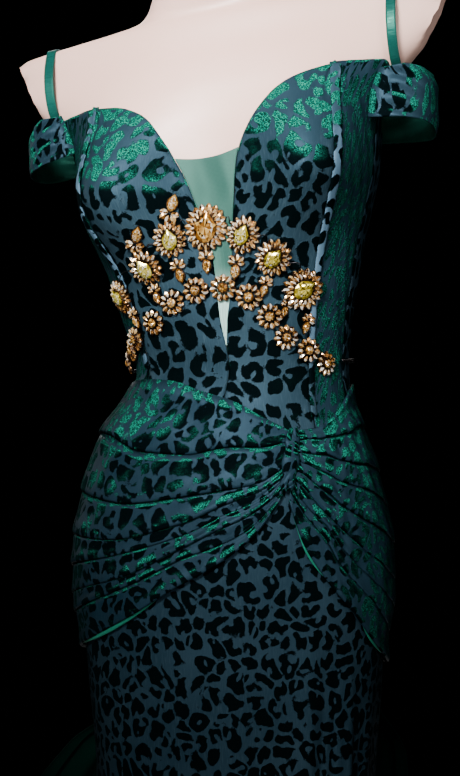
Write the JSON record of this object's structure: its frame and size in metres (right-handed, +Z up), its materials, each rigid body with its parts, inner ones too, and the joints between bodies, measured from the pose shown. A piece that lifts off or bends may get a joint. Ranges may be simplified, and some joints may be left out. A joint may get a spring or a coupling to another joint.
{
  "type": "satin sheath dress on a dress form",
  "caption": "Off-the-shoulder leopard satin gown with a plunging mesh insert, a draped hip, a jewelled belt and an emerald train, on a limbless dress form with a pole and a round base.",
  "frame": {"origin": "centre of the stand base's underside, on the floor under the pole", "axes": "+Z up along the pole, the dress faces -Y, +X is the wearer's left, where the hip drape gathers"},
  "size_m": [0.8942, 0.9209, 1.56],
  "materials": {
    "leopard_satin": "steel-blue satin with dark green leopard spots that shine emerald",
    "emerald_satin": "plain emerald satin",
    "mint_mesh": "sheer mint mesh",
    "emerald_ribbon": "narrow satin ribbon",
    "amber_stones": "faceted amber and champagne stones in dark gold settings",
    "black_chain": "thin black chain",
    "form_paint": "pearl white fibreglass, satin gloss",
    "stand_metal": "brushed steel"
  },
  "bodies": {
    "root": {"bodice_front_left": "leopard_satin", "bodice_front_right": "leopard_satin", "bodice_side_left": "leopard_satin", "bodice_side_right": "leopard_satin", "bodice_back_left": "leopard_satin", "bodice_back_right": "leopard_satin", "bodice_casing_left": "leopard_satin", "bodice_casing_right": "leopard_satin", "sleeve_left": "leopard_satin", "sleeve_right": "leopard_satin", "drape_left": "leopard_satin", "drape_right": "leopard_satin", "drape_knot": "leopard_satin", "skirt_front": "leopard_satin", "skirt_back": "leopard_satin", "train_1": "emerald_satin", "train_2": "emerald_satin", "train_3": "emerald_satin", "train_4": "emerald_satin", "mesh_insert": "mint_mesh", "strap_left": "emerald_ribbon", "strap_right": "emerald_ribbon", "belt_rosette_upper_1": "amber_stones", "belt_rosette_upper_2": "amber_stones", "belt_rosette_upper_3": "amber_stones", "belt_rosette_upper_4": "amber_stones", "belt_rosette_upper_5": "amber_stones", "belt_rosette_upper_6": "amber_stones", "belt_rosette_upper_7": "amber_stones", "belt_rosette_lower_1": "amber_stones", "belt_rosette_lower_2": "amber_stones", "belt_rosette_lower_3": "amber_stones", "belt_rosette_lower_4": "amber_stones", "belt_rosette_lower_5": "amber_stones", "belt_rosette_lower_6": "amber_stones", "belt_rosette_lower_7": "amber_stones", "belt_rosette_lower_8": "amber_stones", "belt_rosette_lower_9": "amber_stones", "belt_rosette_lower_10": "amber_stones", "belt_rosette_lower_11": "amber_stones", "belt_rosette_lower_12": "amber_stones", "belt_drop_1": "amber_stones", "belt_drop_2": "amber_stones", "belt_drop_3": "amber_stones", "belt_drop_4": "amber_stones", "belt_drop_5": "amber_stones", "belt_drop_6": "amber_stones", "belt_drop_7": "amber_stones", "belt_drop_8": "amber_stones", "belt_drop_9": "amber_stones", "belt_drop_10": "amber_stones", "belt_chain": "black_chain", "form_torso": "form_paint", "stand_base": "stand_metal", "stand_pole": "stand_metal"}
  },
  "joints": []
}
